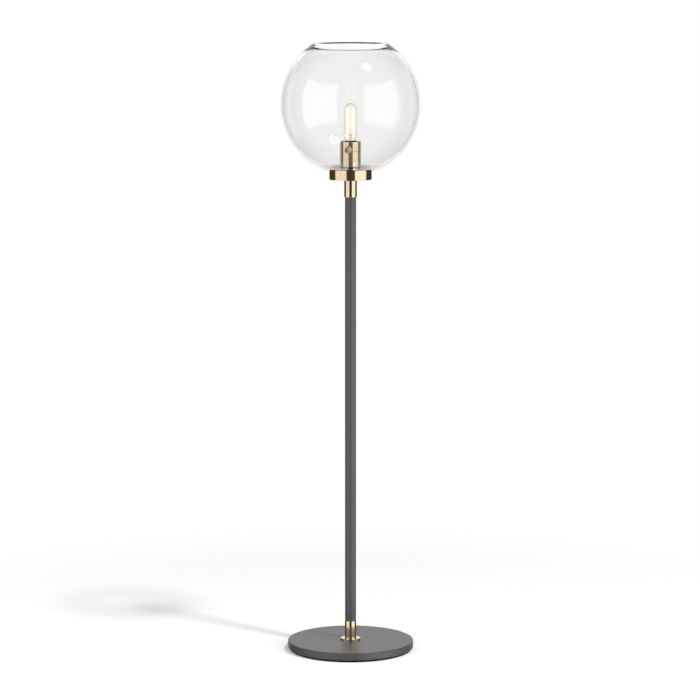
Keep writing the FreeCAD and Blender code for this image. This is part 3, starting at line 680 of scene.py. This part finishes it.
bulb_outline = np.concatenate([bulb_side(0), bulb_side(bulb_wall)[::-1]])
new_piece("bulb_envelope", *revolve(bulb_outline, 160), bulb_glass_with_painted_glow, "bulb_glass", "bulb",
          ["bulb_glass"])

# %% Stem, wires and filaments
smooth_copy("bulb_stem", "bulb_stem_pressed", lead_glass, "bulb_glass", "bulb")
smooth_copy("bulb_supports", "bulb_support_wires", wire_with_painted_glow, "support_wire", "bulb")

stick_radius = 1.1 * MM
stick_circle = 9.5 * MM
stick_low, stick_high = low("bulb_filaments"), high("bulb_filaments")
stick_outline = np.concatenate([
    arc((0, stick_low + stick_radius), stick_radius, -90, 0, 8),
    arc((0, stick_high - stick_radius), stick_radius, 0, 90, 8)])
stick, stick_faces = revolve(stick_outline, 20)
sticks = [stick + [stick_circle * math.cos(turn), stick_circle * math.sin(turn), 0]
          for turn in np.radians(np.arange(0, 360, 60))]
first_points = np.arange(len(sticks))[:, None, None] * len(stick)
new_piece("bulb_filament_sticks", np.concatenate(sticks),
          (stick_faces[None] + first_points).reshape(-1, 4),
          phosphor, "filament", "bulb", ["bulb_filaments"])

# %% [markdown]
# ## Solids that stay
# The remaining pieces are shown as they are: washers, nuts, screws, contacts, the porcelain body
# and the weight inside the base. Only their finish is set.

# %% Finish of the remaining solids
finishes = {
    iron: ["base_weight"],
    steel: ["base_plate", "base_plate_screws", "base_stud", "stud_washer", "stud_lock_washer",
            "stud_nut", "lower_plug", "upper_plug", "holder_nipple", "fitter_spacer", "fitter_nut",
            "cup_washer", "cup_nut", "holder_screws", "terminal_screws", "switch_spindle"],
    brass: ["fitter_underplate"],
    silicone: ["seat_gasket", "clamp_gasket"],
    porcelain: ["holder_body"],
    spring_brass: ["shell_contact", "centre_contact", "switch_leaf"],
    fibre: ["insulating_sleeve"],
    bakelite: ["switch_housing", "switch_cam"],
    vitrite: ["bulb_insulator"],
    solder: ["bulb_tip"],
}
for material, names in finishes.items():
    for name in names:
        nodes[name].data.materials.clear()
        nodes[name].data.materials.append(material)
print("finished", sum(len(names) for names in finishes.values()), "solids in place")

# %% [markdown]
# ## The studio
# The lamp stands on a white floor before a white ground. Polished brass and clear glass show
# whatever is around them, so the room matters more than the lamps. It is painted into the world by
# direction, where az is the angle from the front (-Y) towards the right (+X), and it is made to
# match one picture, so each kind of ray is shown its own room:
#
# - The camera sees plain white.
# - A ray mirrored by brass, or by the outside of glass, sees a dark warm room with a large card of
#   light to the front left and one to the front right, a round lamp above on the right, and the
#   white ground behind.
# - A ray mirrored after it went into glass sees a softer version of that room, and a different one
#   once it is past the globe's front wall.
# - A ray that only went through glass sees white, dimmer straight overhead.
# - A matt surface gets a weak even light from it.
#
# Plain lamps light the matt surfaces from the same places as the cards and the round lamp.

# %% Floor
lit_near, lit_far = 0.95, 1.7   # metres: the lamps light all up to the first, none past the second
lit_level = 0.745               # the share of white that the lamps give, and its own light adds


def floor_material():
    """White. Near the lamp it answers to the lights, so that the lamp's shadow shows.

    Further out it shines by itself, so that it stays even. Rays that were mirrored, and rays from
    below, go through it.
    """
    made, tree = new_material("white_floor")
    path = add(tree, "LightPath").outputs
    away = add(tree, "VectorMath", {0: add(tree, "TexCoord").outputs["Object"]},
               operation="LENGTH").outputs["Value"]
    answer = eased(tree, away, lit_near, lit_far, 1.0, 0.0)
    rest = add(tree, "MapRange", {"Value": answer, "To Min": 1.0, "To Max": 1 - lit_level})
    lit = add(tree, "BsdfDiffuse", {"Color": answer})
    white = add(tree, "Emission", {"Strength": rest.outputs[0]})
    seen = add(tree, "AddShader", {0: white.outputs[0], 1: lit.outputs[0]})
    plain = add(tree, "BsdfDiffuse", {"Color": (0.8, 0.8, 0.8, 1)})
    shown = add(tree, "MixShader", {0: path["Is Diffuse Ray"], 1: seen.outputs[0],
                                    2: plain.outputs[0]})
    mirrored = maths(tree, "GREATER_THAN", path["Glossy Depth"], 0.5)
    below = add(tree, "NewGeometry").outputs["Backfacing"]
    hidden = maths(tree, "MAXIMUM", mirrored, below)
    hole = add(tree, "BsdfTransparent")
    finish_with(tree, add(tree, "MixShader", {0: hidden, 1: shown.outputs[0],
                                              2: hole.outputs[0]}))
    return made


floor_half = 30.0
corners = [(-1, -1), (1, -1), (1, 1), (-1, 1)]
floor_mesh = bpy.data.meshes.new("floor")
floor_mesh.from_pydata([(x * floor_half, y * floor_half, 0) for x, y in corners],
                       [], [(0, 1, 2, 3)])
floor_mesh.materials.append(floor_material())
floor = bpy.data.objects.new("floor", floor_mesh)
bpy.context.scene.collection.objects.link(floor)

# %% World
def window(tree, value, start, end, soft):
    """1 between start and end, falling smoothly to 0 over soft on each side."""
    rise = eased(tree, value, start - soft, start + soft)
    fall = eased(tree, value, end - soft, end + soft, 1.0, 0.0)
    return times(tree, rise, fall)


def direction(az, elevation):
    a, e = math.radians(az), math.radians(elevation)
    return (math.sin(a) * math.cos(e), -math.cos(a) * math.cos(e), math.sin(e))


# Spans are in degrees, and level 1 is the camera's white.
card_height = (-30, 30)
left_card, left_level = (-88, -22), 0.93
right_card, right_level = (24, 91), 1.13
key_az, key_elevation = 48.4, 60.0
disc_radius, disc_level = 6.5, 8.0
ground_az, ground_height, ground_level = (152, 190), (-95, 40), 0.9
wall_colour, wall_level = (1.0, 0.72, 0.48, 1), 0.06
matt_level = 0.22


def room():
    world = bpy.data.worlds.new("studio")
    world.use_nodes = True
    world.cycles.sampling_method = "NONE"
    tree = world.node_tree
    tree.nodes.clear()
    path = add(tree, "LightPath").outputs
    way = add(tree, "TexCoord").outputs["Generated"]
    part = add(tree, "SeparateXYZ", {"Vector": way}).outputs
    turn = maths(tree, "ARCTAN2", part["X"], times(tree, part["Y"], -1.0))
    az = times(tree, turn, 180 / math.pi)
    elevation = times(tree, maths(tree, "ARCSINE", part["Z"]), 180 / math.pi)
    off_front = maths(tree, "ABSOLUTE", az)

    # What brass and the outside of glass mirror.
    level = window(tree, elevation, *card_height, 1.0)
    left = times(tree, window(tree, az, *left_card, 2.0), level, left_level)
    right = times(tree, window(tree, az, *right_card, 2.0), level, right_level)
    ground = times(tree, window(tree, off_front, *ground_az, 2.0),
                   window(tree, elevation, *ground_height, 5.0))
    near_key = add(tree, "VectorMath", {0: way, 1: direction(key_az, key_elevation)},
                   operation="DOT_PRODUCT").outputs["Value"]
    disc = window(tree, near_key, math.cos(math.radians(disc_radius)), 2.0, 0.001)
    cards = plus(tree, left, right, times(tree, disc, disc_level))
    outside = plus(tree, cards, times(tree, ground, ground_level))

    # What glass mirrors inside: a soft light from behind, and more of it above the horizon.
    behind = times(tree, eased(tree, part["Y"], 0.35, 0.65, 0.0, 0.8),
                   window(tree, elevation, -95, 20, 6.0))
    above = times(tree, window(tree, off_front, 140, 190, 6.0),
                  window(tree, elevation, 14, 88, 6.0))
    front_wall = plus(tree, times(tree, cards, 0.3), plus(tree, behind, above), 0.2)
    beyond = plus(tree, times(tree, cards, 0.9), times(tree, behind, 0.55), 0.1)
    past_wall = maths(tree, "GREATER_THAN", path["Transmission Depth"], 2.5)
    inside = either(tree, past_wall, front_wall, beyond)

    # What each kind of ray is shown.
    through = plus(tree, times(tree, window(tree, elevation, -95, 75, 12.0), 0.9), 0.1)
    mirrored = maths(tree, "GREATER_THAN", path["Glossy Depth"], 0.5)
    glassy = path["Is Transmission Ray"]
    straight = either(tree, glassy, matt_level, through)
    mirror = either(tree, glassy, outside, inside)
    seen = either(tree, mirrored, straight, mirror)
    shown = either(tree, path["Is Camera Ray"], seen, 1.0)
    light = add(tree, "Background", {"Color": (1, 1, 1, 1), "Strength": shown})
    walls = add(tree, "Background", {"Color": wall_colour,
                                     "Strength": times(tree, mirrored, wall_level)})
    both = add(tree, "AddShader", {0: light.outputs[0], 1: walls.outputs[0]})
    add(tree, "OutputWorld", {"Surface": both.outputs[0]})
    bpy.context.scene.world = world


room()

# %% Lamps
aim_point = np.array([0, 0, 1.2])
softbox_distance, softbox_size = 2.3, 2.4
key_strength, key_width, key_distance = 1.2, 5.0, 4.0


def place_lamp(light, az, elevation, distance):
    """Puts a lamp in a direction from the aim point, pointing back at it."""
    away = np.array(direction(az, elevation))
    lamp = bpy.data.objects.new(light.name, light)
    bpy.context.scene.collection.objects.link(lamp)
    lamp.location = aim_point + distance * away
    lamp.rotation_mode = "QUATERNION"
    lamp.rotation_quaternion = Vector(away.tolist()).to_track_quat("Z", "Y")
    lamp.visible_glossy = lamp.visible_transmission = False
    return lamp


# A flat lamp gives radiance x pi x area watts.
for name, az, radiance in (("softbox_left", -57, 1.3), ("softbox_right", 58, 2.0)):
    light = bpy.data.lights.new(name, "AREA")
    light.size = softbox_size
    light.energy = radiance * math.pi * softbox_size ** 2
    place_lamp(light, az, 0, softbox_distance).visible_camera = False

key = bpy.data.lights.new("key", "SUN")
key.energy = key_strength
key.angle = math.radians(key_width)
place_lamp(key, key_az, key_elevation, key_distance)

# %% [markdown]
# ## Camera
# The photograph was taken from well away with a long lens, a little above the globe and tilted
# down.

# %% Camera
camera_across, camera_away, camera_height = -0.00135, 7.7683, 1.8239
camera_tilt = 7.737             # degrees down
lens = bpy.data.cameras.new("camera")
lens.lens = 160
lens.sensor_width = 36
camera = bpy.data.objects.new("camera", lens)
camera.location = (camera_across, -camera_away, camera_height)
camera.rotation_euler = (math.radians(90 - camera_tilt), 0, 0)
bpy.context.scene.collection.objects.link(camera)
bpy.context.scene.camera = camera
bpy.context.scene.view_settings.view_transform = "Standard"
